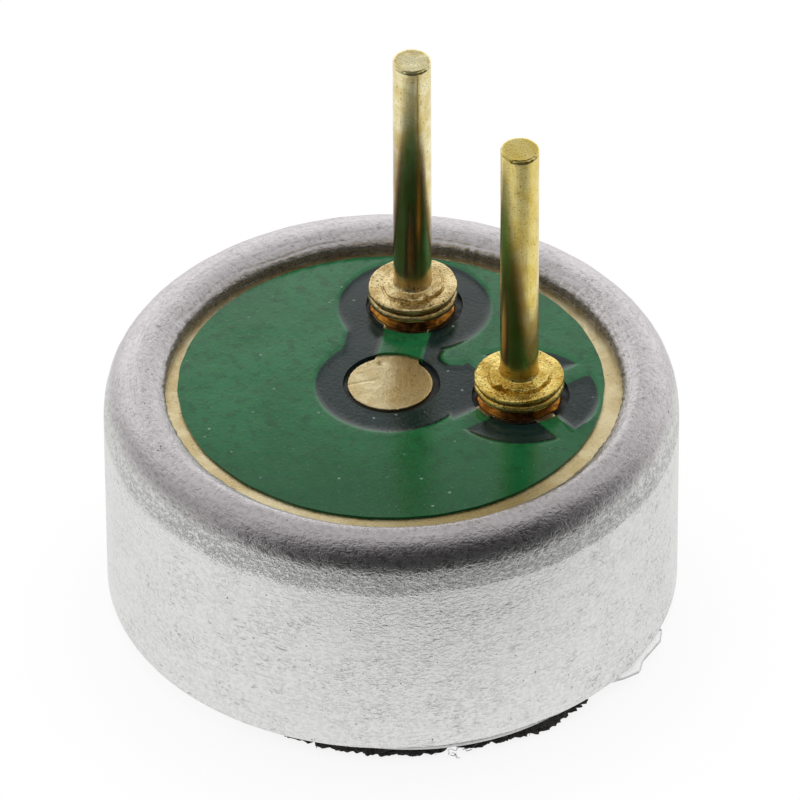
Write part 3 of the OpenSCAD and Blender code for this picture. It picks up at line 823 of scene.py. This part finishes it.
class Finish:
    """A material whose nodes are added one by one, on the object's own coordinates."""

    def __init__(self, slot, **values):
        self.material = bpy.data.materials.new(slot + "_finish")
        self.material.use_nodes = True
        FINISHES[slot] = self.material
        self.tree = self.material.node_tree
        self.shader = self.tree.nodes["Principled BSDF"]
        self.at = self.node("ShaderNodeTexCoord").outputs["Object"]
        for key, value in values.items():
            self.shader.inputs[key.replace("_", " ")].default_value = value

    def node(self, kind, settings=None, **inputs):
        made = self.tree.nodes.new(kind)
        for key, value in (settings or {}).items():
            setattr(made, key, value)
        for key, value in inputs.items():
            self.put(value, made.inputs[key.replace("_", " ")])
        return made

    def put(self, value, socket):
        if isinstance(value, bpy.types.NodeSocket):
            self.tree.links.new(value, socket)
        else:
            socket.default_value = value

    def place(self, size, stretch=(1, 1, 1), shift=0.0):
        """The object's coordinates in units of that size in millimetres, drawn out by stretch."""
        scale = [1 / (size * MM * s) for s in stretch]
        made = self.node("ShaderNodeMapping", Vector=self.at, Scale=scale, Location=(shift, shift, shift))
        return made.outputs[0]

    def noise(self, size, detail=3.0, stretch=(1, 1, 1), rough=0.55, shift=0.0):
        at = self.place(size, stretch, shift)
        made = self.node("ShaderNodeTexNoise", Vector=at, Scale=1.0, Detail=detail, Roughness=rough)
        return made.outputs["Fac"]

    def streaks(self, width, length, shift=0.0):
        """Noise drawn out round the axis, narrow along the attribute profile."""
        x, y = self.along((1 / (length * MM), 0, 0)), self.along((0, 1 / (length * MM), 0))
        across = self.maths("MULTIPLY_ADD", self.attribute("profile"), 1 / width, shift)
        at = self.node("ShaderNodeCombineXYZ", X=x, Y=y, Z=across)
        return self.node("ShaderNodeTexNoise", Vector=at.outputs[0], Scale=1.0, Detail=3.0).outputs["Fac"]

    def spots(self, size, shift=0.0):
        """Distance from the nearest of a scatter of points, in their spacing."""
        at = self.place(size, shift=shift)
        return self.node("ShaderNodeTexVoronoi", Vector=at, Scale=1.0).outputs["Distance"]

    def span(self, value, low=0.35, high=0.65, to_low=0.0, to_high=1.0):
        made = self.node("ShaderNodeMapRange", {"interpolation_type": "SMOOTHSTEP"}, Value=value)
        for name, number in (("From Min", low), ("From Max", high), ("To Min", to_low), ("To Max", to_high)):
            made.inputs[name].default_value = number
        return made.outputs["Result"]

    def maths(self, operation, *values):
        made = self.node("ShaderNodeMath", {"operation": operation})
        for value, socket in zip(values, made.inputs):
            self.put(value, socket)
        return made.outputs[0]

    def times(self, a, b):
        return self.maths("MULTIPLY", a, b)

    def mix(self, factor, a, b):
        made = self.node("ShaderNodeMix", {"data_type": "RGBA"})
        for value, index in ((factor, 0), (a, 6), (b, 7)):
            self.put(value, made.inputs[index])
        return made.outputs[2]

    def ramp(self, value, stops):
        """Grey level by stops of value and level."""
        made = self.node("ShaderNodeValToRGB", Fac=value)
        row = made.color_ramp.elements
        while len(row) < len(stops):
            row.new(0.5)
        for stop, (at, level) in zip(row, stops):
            stop.position, stop.color = at, grey(level)
        return made.outputs["Color"]

    def along(self, vector):
        """Place along a direction, in metres from the origin."""
        where = self.node("ShaderNodeNewGeometry").outputs["Position"]
        made = self.node("ShaderNodeVectorMath", {"operation": "DOT_PRODUCT"})
        self.put(where, made.inputs[0])
        self.put(vector, made.inputs[1])
        return made.outputs["Value"]

    def attribute(self, name):
        return self.node("ShaderNodeAttribute", {"attribute_name": name}).outputs["Fac"]

    def colour(self, value):
        self.shade = value
        self.put(value, self.shader.inputs["Base Color"])

    def tint(self, factor, *rgb):
        """Mixes the colour so far with another."""
        self.colour(self.mix(factor, self.shade, srgb(*rgb)))

    def roughness(self, value):
        self.put(value, self.shader.inputs["Roughness"])

    def bump(self, height, depth, strength=1.0):
        made = self.node("ShaderNodeBump", Height=height, Distance=depth * MM, Strength=strength)
        self.put(made.outputs[0], self.shader.inputs["Normal"])
        return made


# Finishes that show

def case_finish():
    """Satin metal with an embossed skin and marks, coarser where the rim was worked."""
    m = Finish("case_aluminium", Metallic=1.0)
    cloud = m.noise(0.4, 3)
    patch = m.noise(0.16, 2, shift=3.0)
    skin = m.noise(0.042, 3, (1.25, 1.25, 0.9), rough=0.65)
    fine = m.noise(0.020, 2, shift=7.0)
    dash = m.streaks(0.022, 0.10)
    streak = m.streaks(0.014, 0.55, 4.0)
    pit = m.noise(0.040, 1, shift=9.0)
    zone = m.attribute("zone")
    sheared = m.attribute("sheared")
    # The tool's lower border is ragged, and vague on one side
    raggedness = m.span(m.attribute("vague"), 0.0, 1.0, 0.12, 0.5)
    border = m.maths("ADD", zone, m.times(m.maths("SUBTRACT", skin, 0.5), raggedness))
    worked = m.span(border, -0.010, 0.014)
    crest = m.span(zone, 0.24, 0.44)
    light = m.mix(worked, srgb(230, 230, 229), m.mix(crest, srgb(224, 224, 221), srgb(202, 197, 199)))
    dark = m.mix(worked, srgb(216, 216, 214), m.mix(crest, srgb(190, 190, 187), srgb(186, 181, 182)))
    # Painted light and shade: the skin is lighter on its raised parts and darker in its hollows
    raised = m.span(skin, 0.40, 0.56)
    m.colour(m.mix(raised, dark, light))
    patchy = m.maths("ADD", patch, cloud)
    clustered = m.span(patchy, 0.94, 1.16, 0.08, 1.0)
    marks = m.times(m.span(dash, 0.59, 0.68, 0.0, 0.55), clustered)
    m.tint(marks, 126, 125, 123)
    handled = m.span(m.along((*RIGHT, 0)), 1.2 * MM, 2.5 * MM, 1.0, 2.0)
    dints = m.times(m.times(m.span(skin, 0.41, 0.32, 0.0, 0.4), clustered), handled)
    m.tint(dints, 134, 133, 131)
    specks = m.times(m.span(fine, 0.58, 0.72, 0.0, 0.5), m.span(cloud, 0.40, 0.62, 0.15, 1.0))
    m.tint(m.times(specks, handled), 136, 135, 133)
    m.tint(m.span(streak, 0.58, 0.74, 0.0, 0.22), 128, 125, 124)
    m.tint(m.span(streak, 0.42, 0.28, 0.0, 0.25), 245, 245, 244)
    scar = m.noise(0.075, 2, (1.3, 1.3, 0.7), shift=21.0)
    m.tint(m.span(scar, 0.68, 0.76, 0.0, 0.5), 112, 110, 107)
    m.tint(m.span(pit, 0.73, 0.79, 0.0, 0.8), 64, 62, 60)
    # Painted glints and their painted shade in a band along the tool's border
    painted_glint_band = m.span(m.maths("ABSOLUTE", border), 0.06, 0.01, 0.0, 0.7)
    m.tint(m.times(painted_glint_band, m.span(fine, 0.54, 0.64)), 240, 240, 238)
    m.tint(m.times(painted_glint_band, m.span(fine, 0.44, 0.34, 0.0, 0.7)), 112, 110, 107)
    m.tint(m.times(sheared, 0.6), 96, 92, 87)
    m.roughness(m.span(skin, 0.35, 0.65, 0.28, 0.38))
    crimped = m.times(worked, m.span(zone, 0.31, 0.17))
    relief = m.maths("MULTIPLY_ADD", fine, 1.6, m.maths("MULTIPLY_ADD", dash, -0.8, raised))
    made = m.bump(relief, 0.009)
    strength = m.mix(worked, grey(0.36), m.mix(crimped, grey(0.3), grey(1)))
    strength = m.times(strength, m.span(patchy, 0.80, 1.15, 0.75, 1.0))
    m.put(m.maths("MAXIMUM", strength, sheared), made.inputs["Strength"])


def lacquer_finish():
    m = Finish("mask_green", IOR=1.5)
    cloud = m.noise(0.7, 3)
    mottle = m.noise(0.13, 3, shift=4.0)
    fine = m.noise(0.04, 4, rough=0.65, shift=2.0)
    green = m.mix(m.span(cloud), srgb(22, 95, 52), srgb(30, 106, 61))
    # Painted shade: the green darkens toward the front
    green = m.mix(m.span(m.along((*FRONT, 0)), 0.2 * MM, 2.2 * MM, 0.0, 0.85), green, srgb(11, 77, 39))
    green = m.mix(m.span(mottle, 0.45, 0.72, 0.0, 0.7), green, srgb(14, 74, 40))
    green = m.mix(m.span(m.spots(0.085, 3.0), 0.16, 0.06, 0.0, 0.3), green, srgb(92, 140, 108))
    slate = m.mix(m.span(fine), srgb(14, 33, 31), srgb(22, 43, 40))
    m.colour(m.mix(m.attribute("gap"), green, slate))
    m.tint(m.span(fine, 0.58, 0.70, 0.0, 0.6), 8, 44, 27)
    dust = m.spots(0.17, 6.0)
    dusty = m.span(m.noise(0.5, 1, shift=8.0), 0.50, 0.62)
    m.tint(m.times(m.span(dust, 0.11, 0.05, 0.0, 0.65), dusty), 128, 164, 140)
    m.roughness(m.span(fine, 0.3, 0.75, 0.08, 0.19))
    m.bump(m.maths("MULTIPLY_ADD", m.span(dust, 0.14, 0.03, 0.0, 2.5), dusty, fine), 0.0032, 0.5)


def copper_finish():
    m = Finish("plated_copper", Metallic=1.0)
    stain = m.noise(0.28, 4)
    grit = m.noise(0.03, 4, shift=3.0)
    m.colour(m.mix(m.span(stain, 0.36, 0.66), srgb(226, 211, 170), srgb(206, 186, 138)))
    # Painted shade toward the right of the output copper
    m.tint(m.times(m.attribute("painted_shade_right"), 0.85), 184, 158, 102)
    # Painted shade on the front right of the ground copper
    m.tint(m.times(m.attribute("painted_shade_front_right"), 0.85), 166, 148, 100)
    m.tint(m.span(grit, 0.6, 0.75, 0.0, 0.5), 120, 96, 54)
    m.roughness(m.span(grit, 0.3, 0.7, 0.28, 0.46))
    m.bump(grit, 0.007, 0.5)


def pin_finish():
    """Gold flash, yellower on the ground pin, with drawn lines and pits, and a painted dark reflection on the
    front left of the lower shaft.
    """
    m = Finish("pin_gold", Metallic=0.95)
    stain = m.noise(0.22, 3)
    drawn = m.noise(0.018, 3, (1, 1, 14), shift=5.0)
    pit = m.noise(0.026, 3, rough=0.65, shift=1.0)
    shaft = m.attribute("shaft")
    yellow = m.span(m.along((1, 0, 0)), -0.4 * MM, 0.4 * MM)
    pale = m.mix(yellow, srgb(240, 230, 184), srgb(234, 216, 140))
    deep = m.mix(yellow, srgb(222, 203, 138), srgb(222, 198, 106))
    flange_pale = m.mix(yellow, srgb(228, 208, 156), srgb(240, 216, 126))
    flange_deep = m.mix(yellow, srgb(192, 166, 110), srgb(206, 170, 74))
    mottled = m.span(stain)
    m.colour(m.mix(shaft, m.mix(mottled, flange_pale, flange_deep), m.mix(mottled, pale, deep)))
    m.tint(m.times(m.span(drawn, 0.60, 0.72, 0.0, 0.25), shaft), 120, 98, 48)
    m.tint(m.span(pit, 0.60, 0.68, 0.0, 0.7), 96, 72, 26)
    pressed = m.times(m.span(pit, 0.54, 0.64, 0.0, 0.7), m.span(shaft, 0.5, 0.0))
    m.tint(pressed, 92, 62, 20)
    # Painted dark reflection on the front left of the lower shaft
    m.tint(m.times(m.attribute("painted_dark_reflection"), 0.75), 126, 88, 38)
    m.roughness(m.span(drawn, 0.35, 0.75, 0.16, 0.26))
    made = m.bump(m.maths("ADD", m.times(drawn, 0.4), pit), 0.008)
    m.put(m.span(shaft, 0.0, 1.0, 0.8, 0.14), made.inputs["Strength"])


def pin_solder_finish():
    m = Finish("pin_solder", Metallic=0.85)
    stain = m.noise(0.09, 4)
    # Painted shade at the front and back, and painted glints on the sides
    mottled = m.mix(m.span(stain), srgb(104, 62, 18), srgb(52, 30, 8))
    bare = m.mix(m.span(stain), srgb(206, 140, 48), srgb(132, 78, 20))
    m.colour(m.mix(m.attribute("bare"), mottled, bare))
    m.roughness(m.span(stain, 0.3, 0.7, 0.22, 0.42))
    m.bump(stain, 0.006, 0.5)


def felt_finish():
    m = Finish("black_felt", Specular_IOR_Level=0.25, Sheen_Weight=0.25, Sheen_Roughness=0.6)
    nap = m.noise(0.018, 4)
    clump = m.noise(0.14, 3, shift=3.0)
    m.colour(m.mix(m.span(nap, 0.35, 0.68), srgb(14, 12, 12), srgb(52, 46, 42)))
    m.tint(m.span(clump, 0.45, 0.7, 0.0, 0.6), 22, 20, 20)
    m.tint(m.span(m.spots(0.21), 0.12, 0.06, 0.0, 0.8), 196, 194, 190)
    m.roughness(m.span(nap, 0.3, 0.7, 0.8, 1.0))
    m.bump(nap, 0.02, 0.8)


def film_finish():
    m = Finish("clear_film", IOR=1.45)
    haze = m.noise(0.12, 3)
    border = m.attribute("border")
    clear = m.mix(m.span(haze, 0.3, 0.7), srgb(244, 244, 243), srgb(226, 226, 225))
    # Painted highlight: the film under the case's lower edge is white
    painted_hem_highlight = m.attribute("painted_hem_highlight")
    m.colour(m.mix(border, clear, m.mix(painted_hem_highlight, srgb(168, 168, 167), srgb(250, 250, 250))))
    m.roughness(m.span(haze, 0.3, 0.7, 0.1, 0.25))
    m.put(m.span(m.maths("MULTIPLY_ADD", painted_hem_highlight, 0.7, border), 0.0, 1.7, 0.12, 0.9), m.shader.inputs["Alpha"])
    m.bump(haze, 0.003, 0.4)


def laminate_finish():
    m = Finish("board_laminate")
    warp = m.noise(0.05, 2, (8, 1, 1))
    weft = m.noise(0.05, 2, (1, 8, 1), shift=2.0)
    weave = m.maths("ADD", warp, weft)
    m.colour(m.mix(m.span(weave, 0.85, 1.15), srgb(5, 7, 6), srgb(13, 17, 13)))
    m.roughness(m.span(weave, 0.8, 1.2, 0.35, 0.6))
    m.bump(weave, 0.004, 0.4)


# Finishes of the pieces inside

def inner_finish(slot, dark, light, size, metallic, smoothest, roughest, stretch=(1, 1, 1), depth=0.004):
    m = Finish(slot, Metallic=metallic)
    mottle = m.noise(size, 4, stretch)
    m.colour(m.mix(m.span(mottle), srgb(*dark), srgb(*light)))
    m.roughness(m.span(mottle, 0.3, 0.7, smoothest, roughest))
    m.bump(mottle, depth, 0.5)


INNER = (
    ("ring_brass", (178, 142, 78), (224, 192, 124), 0.06, 1.0, 0.2, 0.38, (1, 1, 5)),
    ("metallised_film", (170, 170, 174), (212, 212, 216), 0.4, 1.0, 0.08, 0.2),
    ("spacer_plastic", (196, 164, 98), (226, 198, 134), 0.1, 0.0, 0.4, 0.6),
    ("electret_plastic", (222, 224, 224), (240, 241, 241), 0.3, 0.0, 0.15, 0.3),
    ("chamber_plastic", (212, 206, 190), (236, 232, 220), 0.12, 0.0, 0.45, 0.65),
    ("transistor_plastic", (26, 26, 27), (48, 48, 49), 0.03, 0.0, 0.5, 0.75),
    ("tinned_metal", (176, 176, 172), (214, 214, 210), 0.05, 1.0, 0.22, 0.4, (4, 1, 1)),
    ("solder", (160, 162, 166), (206, 208, 212), 0.05, 1.0, 0.15, 0.35),
    ("capacitor_ceramic", (150, 116, 78), (186, 150, 106), 0.03, 0.0, 0.45, 0.7),
)


def dress_frame():
    """Gives each CAD node the material of its slot."""
    slots = {s["node"]: s["material_slot"] for s in frame["record"]["subparts"]}
    for name, item in frame["nodes"].items():
        item.data.materials.clear()
        item.data.materials.append(FINISHES[slots[name]])


# Stage, light and camera, in metres

FLOOR_HALF, FLOOR_Z = 0.3, -0.000002
FLOOR_PLAIN, FLOOR_PALE, FLOOR_GLOW = 0.8, 0.16, 0.86
DIM_NEAR, DIM_FAR, DIM_LEAST = 0.0034, 0.0115, 0.05
SKY_LEVEL = 0.7
LAMP_LEVEL, LAMP_SIZE, LAMP_Z, LAMP_BACK = 0.3, 0.06, 0.08, 0.02

# Brightness of the light tent over the object, by the angle from the front horizon over the top
TENT_R = 0.030
TENT = ((0, 0.08), (10, 0.06), (24, 0.05), (50, 0.05), (66, 0.30), (80, 0.76), (96, 0.76), (116, 0.66),
        (128, 0.80), (139, 1.1), (141, 1.45), (180, 1.3))
BOARD_SHADE = ((0, 1.0), (133.6, 1.0), (134.3, 0.04), (136.0, 0.06), (137.4, 0.5), (139, 0.9), (141, 1.0))
TENT_LEFT, TENT_RIGHT = 0.5, 0.45


def stage_item(name, verts, faces, material):
    mesh = bpy.data.meshes.new(name)
    mesh.from_pydata(verts, [], faces)
    mesh.materials.append(material)
    item = add_object(name, mesh)
    return item


def background_rays(tree):
    """1 for rays that should meet the white background: seen straight, mirrored or through film."""
    path = tree.nodes.new("ShaderNodeLightPath")
    total = path.outputs["Is Camera Ray"]
    for name in ("Is Glossy Ray", "Is Transmission Ray"):
        larger = tree.nodes.new("ShaderNodeMath")
        larger.operation = "MAXIMUM"
        tree.links.new(total, larger.inputs[0])
        tree.links.new(path.outputs[name], larger.inputs[1])
        total = larger.outputs[0]
    return total


def floor():
    """White floor that shows a pale shadow. Mirrored, it dims in front as the tent does."""
    f = Finish("floor_white")
    tree = f.tree
    tree.nodes.remove(f.shader)
    plain = f.node("ShaderNodeBsdfDiffuse", Color=grey(FLOOR_PLAIN))
    pale = f.node("ShaderNodeBsdfDiffuse", Color=grey(FLOOR_PALE))
    glow = f.node("ShaderNodeEmission", Strength=FLOOR_GLOW)
    both = f.node("ShaderNodeAddShader")
    f.put(pale.outputs[0], both.inputs[0])
    f.put(glow.outputs[0], both.inputs[1])
    dimming = f.span(f.along((*DIM, 0)), DIM_NEAR, DIM_FAR, 1.0, DIM_LEAST)
    mirrored = f.node("ShaderNodeEmission", Strength=dimming)
    in_mirror = f.node("ShaderNodeLightPath").outputs["Is Glossy Ray"]
    seen_or_mirrored = f.node("ShaderNodeMixShader", Fac=in_mirror)
    f.put(both.outputs[0], seen_or_mirrored.inputs[1])
    f.put(mirrored.outputs[0], seen_or_mirrored.inputs[2])
    choice = f.node("ShaderNodeMixShader", Fac=background_rays(tree))
    f.put(plain.outputs[0], choice.inputs[1])
    f.put(seen_or_mirrored.outputs[0], choice.inputs[2])
    f.put(choice.outputs[0], tree.nodes["Material Output"].inputs["Surface"])
    verts = [(x * FLOOR_HALF, y * FLOOR_HALF, FLOOR_Z) for x, y in ((-1, -1), (1, -1), (1, 1), (-1, 1))]
    stage_item("floor", verts, [(0, 1, 2, 3)], f.material)


def tent():
    """Dome that only reflections see: bright behind the object and overhead, dark behind the camera."""
    f = Finish("tent_light")
    tree = f.tree
    tree.nodes.remove(f.shader)
    up = f.along((0, 0, 1))

    def by_angle(front, stops):
        turn = f.maths("ARCTAN2", up, f.along((*front, 0)))
        return f.ramp(f.maths("DIVIDE", turn, math.pi), [(degrees / 180, level) for degrees, level in stops])
    side = f.maths("DIVIDE", f.along((*RIGHT, 0)), TENT_R)
    level = f.mix(f.span(side, -0.62, -0.92), by_angle(DIM, TENT), grey(TENT_LEFT))
    level = f.mix(f.span(side, 0.88, 1.0), level, grey(TENT_RIGHT))
    shade = f.mix(f.span(f.maths("ABSOLUTE", side), 0.3, 0.5), by_angle(FRONT, BOARD_SHADE), grey(1))
    glow = f.node("ShaderNodeEmission", Color=f.times(level, shade), Strength=1.0)
    f.put(glow.outputs[0], tree.nodes["Material Output"].inputs["Surface"])
    turn, rise = turns(48), np.linspace(0, np.pi / 2, 16)
    steps, count = len(turn), len(rise)
    verts = [(TENT_R * math.cos(a) * math.cos(e), TENT_R * math.sin(a) * math.cos(e), TENT_R * math.sin(e))
             for a in turn for e in rise]
    faces = []
    for i in range(steps):
        a, b = i * count, (i + 1) % steps * count
        faces += [(a + j, b + j, b + j + 1, a + j + 1) for j in range(count - 1)]
    dome = stage_item("tent", verts, faces, f.material)
    for kind in ("camera", "diffuse", "transmission", "volume_scatter", "shadow"):
        setattr(dome, "visible_" + kind, False)


def light():
    world = bpy.data.worlds.new("studio")
    bpy.context.scene.world = world
    world.use_nodes = True
    tree = world.node_tree
    sky = tree.nodes["Background"]
    sky.inputs["Strength"].default_value = SKY_LEVEL
    white = tree.nodes.new("ShaderNodeBackground")
    for background in (sky, white):
        background.inputs["Color"].default_value = grey(1)
    choice = tree.nodes.new("ShaderNodeMixShader")
    tree.links.new(background_rays(tree), choice.inputs[0])
    tree.links.new(sky.outputs[0], choice.inputs[1])
    tree.links.new(white.outputs[0], choice.inputs[2])
    tree.links.new(choice.outputs[0], tree.nodes["World Output"].inputs["Surface"])
    lamp = bpy.data.lights.new("overhead", "AREA")
    lamp.shape = "DISK"
    lamp.size = LAMP_SIZE
    lamp.energy = LAMP_LEVEL * (math.pi * LAMP_Z) ** 2
    item = add_object("overhead", lamp)
    item.location = (*(-LAMP_BACK * FRONT), LAMP_Z)
    item.rotation_euler = (-item.location).to_track_quat("-Z", "Y").to_euler()
    item.visible_glossy = False
    item.visible_camera = False


def camera():
    target = Vector((0, 0, AIM_Z)) * MM
    right = Vector((*RIGHT, 0))
    back = Vector((*(FRONT * math.cos(ELEVATION)), math.sin(ELEVATION)))
    up = back.cross(right)
    data = bpy.data.cameras.new("camera")
    data.sensor_width = SENSOR
    data.lens = LENS
    data.clip_start, data.clip_end = 0.001, 10
    item = add_object("camera", data)
    item.location = target + back * DISTANCE * MM
    aim = target + (right * AIM_RIGHT + up * AIM_UP) * MM
    straight = (aim - item.location).to_track_quat("-Z", "Y")
    item.rotation_euler = (straight @ Quaternion((0, 0, 1), -ROLL)).to_euler()
    bpy.context.scene.camera = item


camera()
bpy.context.scene.view_settings.view_transform = "Standard"
for finish in (case_finish, lacquer_finish, copper_finish, pin_finish, pin_solder_finish, felt_finish,
               film_finish, laminate_finish):
    finish()
for values in INNER:
    inner_finish(*values)
dress_frame()
case_shell()
felt_disc()
felt_fibres()
film_ring()
board_layers()
pin("pin_output", "output_pin", OUTPUT, 1,
    torn_at=0.5, torn_width=0.85, bent=0.016, painted_dark_reflection_top=2.6, painted_dark_reflection_width=1.37)
pin("pin_ground", "ground_pin", GROUND, 2,
    torn_at=0.1, torn_width=1.35, bent=0.006, painted_dark_reflection_top=2.4, painted_dark_reflection_width=0.95)
solder_joint("joint_output", "output_pin_solder", OUTPUT, 111)
solder_joint("joint_ground", "ground_pin_solder", GROUND, 121)
floor()
tent()
light()
